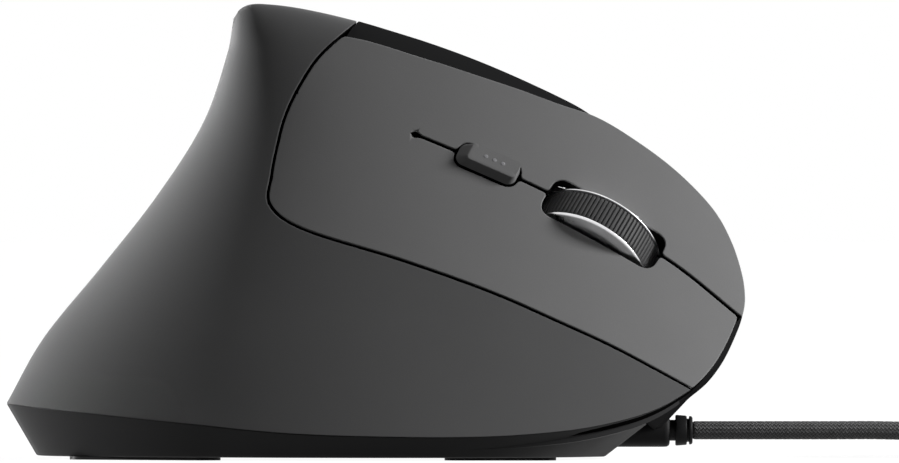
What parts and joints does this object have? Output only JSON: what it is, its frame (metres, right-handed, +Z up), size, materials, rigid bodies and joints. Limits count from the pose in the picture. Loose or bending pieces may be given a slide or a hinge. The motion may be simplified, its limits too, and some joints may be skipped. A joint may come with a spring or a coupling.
{
  "type": "vertical ergonomic computer mouse",
  "caption": "Right-handed vertical computer mouse with slanted finger buttons, ribbed scroll wheel, thumb buttons and a braided cord with its plug.",
  "frame": {"origin": "on the desk under the middle of the body's box, cord left out", "axes": "+X forward to the nose and the cord, +Y to the thumb side, +Z up"},
  "size_m": [0.2537, 0.0871, 0.0737],
  "materials": {
    "grey_plastic": "fine matt texture, dark grey",
    "black_plastic": "matt black",
    "gloss_black": "satin black",
    "glide": "slick dark low-friction plastic",
    "inner_plastic": "moulded",
    "board_green": "solder resist",
    "steel": "bright",
    "switch_black": "moulded",
    "plunger_red": "moulded",
    "pin_white": "moulded",
    "tyre_rubber": "ribbed, matt",
    "chrome": "polished",
    "lens": "clear",
    "wire": "smooth sheath",
    "gland_rubber": "matt",
    "braid": "braided, black and grey",
    "plug_steel": "plated",
    "gold": "gold plated"
  },
  "bodies": {
    "mouse_body": {"main_shell": "grey_plastic", "thumb_shell": "black_plastic", "ridge_trim": "black_plastic", "button_bridge": "grey_plastic", "base_shell": "black_plastic", "base_screws": "steel", "rear_feet": "glide", "front_feet": "glide", "chassis": "inner_plastic", "switch_board": "board_green", "board_screws": "steel", "left_switch": "switch_black", "right_switch": "switch_black", "speed_switch": "switch_black", "wheel_switch": "switch_black", "yoke_bracket": "inner_plastic", "yoke_pin": "steel", "thumb_board": "board_green", "thumb_switches": "switch_black", "thumb_screws": "steel", "main_board": "board_green", "sensor_chip": "switch_black", "sensor_lens": "lens", "cord_header": "pin_white", "board_header": "pin_white", "inner_lead": "wire", "board_harness": "wire", "strain_relief": "gland_rubber", "cord_lead": "braid", "cord_coil": "braid", "cord_tail": "braid", "cable_tie": "gland_rubber", "plug_grip": "gland_rubber", "plug_shell": "plug_steel", "plug_tongue": "pin_white", "plug_contacts": "gold"},
    "left_button": {"left_button": "grey_plastic"},
    "right_button": {"right_button": "grey_plastic"},
    "speed_button": {"speed_button": "grey_plastic"},
    "wheel_yoke": {"wheel_yoke": "inner_plastic", "encoder": "board_green"},
    "wheel": {"wheel_tyre": "tyre_rubber", "wheel_rims": "chrome", "wheel_hub": "pin_white", "wheel_axle": "steel", "encoder_rotor": "pin_white"},
    "back_button": {"back_button": "gloss_black"},
    "forward_button": {"forward_button": "gloss_black"},
    "left_plunger": {"left_plunger": "plunger_red"},
    "right_plunger": {"right_plunger": "plunger_red"},
    "speed_pin": {"speed_pin": "pin_white"},
    "wheel_pin": {"wheel_pin": "pin_white"},
    "back_pin": {"back_pin": "pin_white"},
    "forward_pin": {"forward_pin": "pin_white"}
  },
  "joints": [
    {"name": "left_press", "type": "hinge", "parent": "mouse_body", "child": "left_button", "pos_m": [0.0064, -0.00665, 0.0527], "axis": [0.2649, 0.4827, 0.8348], "range_deg": [0, 0.8], "stiffness_Nm_per_rad": 1.8},
    {"name": "right_press", "type": "hinge", "parent": "mouse_body", "child": "right_button", "pos_m": [0.0064, -0.00665, 0.0527], "axis": [-0.0358, 0.5251, 0.8503], "range_deg": [0, 0.8], "stiffness_Nm_per_rad": 1.8},
    {"name": "speed_press", "type": "slide", "parent": "mouse_body", "child": "speed_button", "axis": [-0.1256, 0.8491, -0.5131], "range_m": [0, 0.0004], "stiffness_N_per_m": 1500},
    {"name": "yoke_click", "type": "hinge", "parent": "mouse_body", "child": "wheel_yoke", "pos_m": [0.02087, -0.00203, 0.04149], "axis": [0.4124, 0.5872, 0.6965], "range_deg": [0, 1.5], "stiffness_Nm_per_rad": 0.45},
    {"name": "wheel_spin", "type": "hinge", "parent": "wheel_yoke", "child": "wheel", "pos_m": [0.03506, -0.00329, 0.03414], "axis": [0.4124, 0.5872, 0.6965], "continuous": true},
    {"name": "back_press", "type": "slide", "parent": "mouse_body", "child": "back_button", "axis": [-0.0323, -0.9969, -0.0718], "range_m": [0, 0.0004], "stiffness_N_per_m": 1500},
    {"name": "forward_press", "type": "slide", "parent": "mouse_body", "child": "forward_button", "axis": [-0.0323, -0.9969, -0.0718], "range_m": [0, 0.0004], "stiffness_N_per_m": 1500},
    {"name": "left_plunge", "type": "slide", "parent": "mouse_body", "child": "left_plunger", "axis": [-0.2641, 0.8088, -0.5255], "range_m": [0, 0.0007]},
    {"name": "right_plunge", "type": "slide", "parent": "mouse_body", "child": "right_plunger", "axis": [-0.2641, 0.8088, -0.5255], "range_m": [0, 0.0007]},
    {"name": "speed_plunge", "type": "slide", "parent": "mouse_body", "child": "speed_pin", "axis": [-0.2641, 0.8088, -0.5255], "range_m": [0, 0.0005]},
    {"name": "wheel_plunge", "type": "slide", "parent": "mouse_body", "child": "wheel_pin", "axis": [-0.2641, 0.8088, -0.5255], "range_m": [0, 0.0004]},
    {"name": "back_plunge", "type": "slide", "parent": "mouse_body", "child": "back_pin", "axis": [-0.0323, -0.9969, -0.0718], "range_m": [0, 0.0005]},
    {"name": "forward_plunge", "type": "slide", "parent": "mouse_body", "child": "forward_pin", "axis": [-0.0323, -0.9969, -0.0718], "range_m": [0, 0.0005]}
  ],
  "couplings": [
    {"joint": "left_plunge", "follows": "left_press", "m_per_rad": 0.04202},
    {"joint": "right_plunge", "follows": "right_press", "m_per_rad": 0.0299},
    {"joint": "speed_plunge", "follows": "speed_press", "ratio": 1},
    {"joint": "wheel_plunge", "follows": "yoke_click", "m_per_rad": 0.01},
    {"joint": "back_plunge", "follows": "back_press", "ratio": 1},
    {"joint": "forward_plunge", "follows": "forward_press", "ratio": 1}
  ]
}
